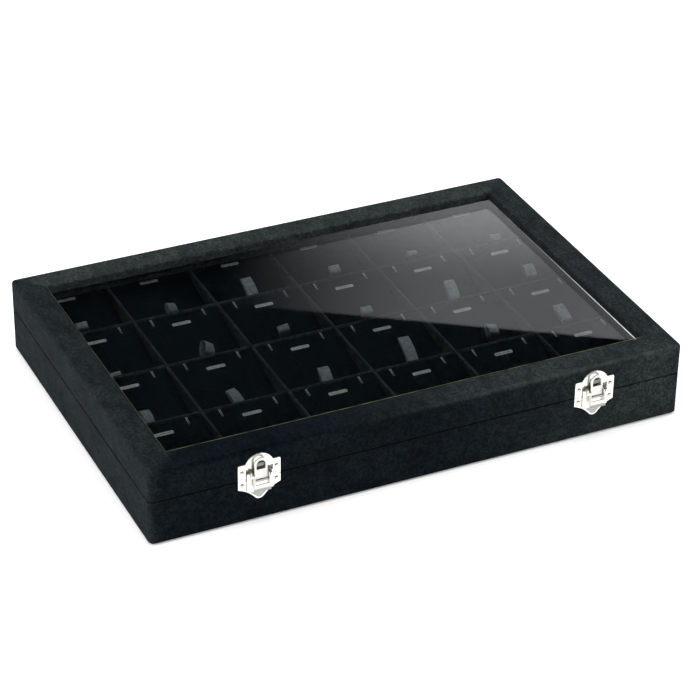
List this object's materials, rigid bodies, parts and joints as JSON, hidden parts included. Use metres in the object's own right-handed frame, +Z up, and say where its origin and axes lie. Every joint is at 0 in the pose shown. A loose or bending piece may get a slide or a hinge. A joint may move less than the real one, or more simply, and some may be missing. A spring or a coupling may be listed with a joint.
{
  "type": "jewelry display tray",
  "caption": "Shallow rectangular display case with sloping compartments and ribbon pulls under a hinged glass-topped lid that two draw latches close.",
  "frame": {"origin": "middle of the face the case rests on, on the centre lines of the case", "axes": "+X to the right along the front, -Y towards the latches, +Z up"},
  "size_m": [0.35, 0.2557, 0.05],
  "materials": {
    "velvet_board": "board covered with black velvet",
    "velvet_card": "card covered with black velvet",
    "base_paper": "matt black lining sheet",
    "satin_ribbon": "satin",
    "clear_glass": "clear float glass",
    "nickel": "nickel-plated sheet steel"
  },
  "bodies": {
    "tray": {"tray_front_wall": "velvet_board", "tray_back_wall": "velvet_board", "tray_left_wall": "velvet_board", "tray_right_wall": "velvet_board", "liner_boards": "velvet_board", "floor_board": "velvet_board", "column_divider_1": "velvet_card", "column_divider_2": "velvet_card", "column_divider_3": "velvet_card", "column_divider_4": "velvet_card", "column_divider_5": "velvet_card", "row_divider_1": "velvet_card", "row_divider_2": "velvet_card", "row_divider_3": "velvet_card", "insert_r1c1": "velvet_card", "insert_r1c2": "velvet_card", "insert_r1c3": "velvet_card", "insert_r1c4": "velvet_card", "insert_r1c5": "velvet_card", "insert_r1c6": "velvet_card", "insert_r2c1": "velvet_card", "insert_r2c2": "velvet_card", "insert_r2c3": "velvet_card", "insert_r2c4": "velvet_card", "insert_r2c5": "velvet_card", "insert_r2c6": "velvet_card", "insert_r3c1": "velvet_card", "insert_r3c2": "velvet_card", "insert_r3c3": "velvet_card", "insert_r3c4": "velvet_card", "insert_r3c5": "velvet_card", "insert_r3c6": "velvet_card", "insert_r4c1": "velvet_card", "insert_r4c2": "velvet_card", "insert_r4c3": "velvet_card", "insert_r4c4": "velvet_card", "insert_r4c5": "velvet_card", "insert_r4c6": "velvet_card", "hinge_tray_leaves": "nickel", "pivot_pins": "nickel", "tray_nails": "nickel", "left_latch_base": "nickel", "right_latch_base": "nickel", "base_sheet": "base_paper", "ribbon_pulls": "satin_ribbon"},
    "lid": {"lid_front_rail": "velvet_board", "lid_back_rail": "velvet_board", "lid_left_rail": "velvet_board", "lid_right_rail": "velvet_board", "glass_panel": "clear_glass", "glass_retainer": "velvet_board", "hinge_lid_leaves": "nickel", "left_catch_plate": "nickel", "right_catch_plate": "nickel", "lid_nails": "nickel"},
    "left_lever": {"left_lever": "nickel"},
    "right_lever": {"right_lever": "nickel"},
    "left_bail": {"left_bail": "nickel"},
    "right_bail": {"right_bail": "nickel"}
  },
  "joints": [
    {"name": "lid_hinge", "type": "hinge", "parent": "tray", "child": "lid", "pos_m": [0, 0.122, 0.03], "axis": [-1, 0, 0], "range_deg": [0, 100]},
    {"name": "left_lever_pivot", "type": "hinge", "parent": "tray", "child": "left_lever", "pos_m": [-0.107, -0.1236, 0.0343], "axis": [-1, 0, 0], "range_deg": [0, 105]},
    {"name": "left_bail_pivot", "type": "hinge", "parent": "left_lever", "child": "left_bail", "pos_m": [-0.107, -0.12302, 0.03014], "axis": [-1, 0, 0], "range_deg": [-105, 0]},
    {"name": "right_lever_pivot", "type": "hinge", "parent": "tray", "child": "right_lever", "pos_m": [0.114, -0.1236, 0.0343], "axis": [-1, 0, 0], "range_deg": [0, 105]},
    {"name": "right_bail_pivot", "type": "hinge", "parent": "right_lever", "child": "right_bail", "pos_m": [0.114, -0.12302, 0.03014], "axis": [-1, 0, 0], "range_deg": [-105, 0]}
  ],
  "couplings": [
    {"joint": "left_bail_pivot", "follows": "left_lever_pivot", "ratio": -1},
    {"joint": "right_bail_pivot", "follows": "right_lever_pivot", "ratio": -1}
  ]
}
